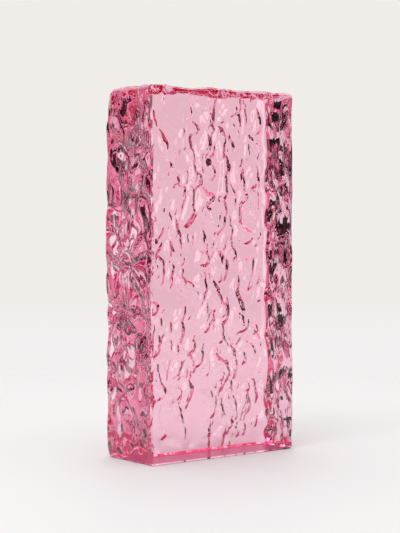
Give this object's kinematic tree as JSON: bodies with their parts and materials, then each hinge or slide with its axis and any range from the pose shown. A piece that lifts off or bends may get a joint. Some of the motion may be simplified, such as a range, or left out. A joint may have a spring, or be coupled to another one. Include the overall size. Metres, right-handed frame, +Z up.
{
  "type": "glass block",
  "caption": "Solid cast glass building block with one flat polished face, a flat base end and rippled cast sides, back and top.",
  "frame": {"origin": "centre of the flat base end", "axes": "+Z up along the longest side, +Y from the flat polished face into the thickness, +X along the width"},
  "size_m": [0.0998, 0.045, 0.1999],
  "materials": {
    "pink_glass": "polished front and base, rippled fire-finished cast skin elsewhere"
  },
  "bodies": {
    "root": {"glass_block": "pink_glass"}
  },
  "joints": []
}
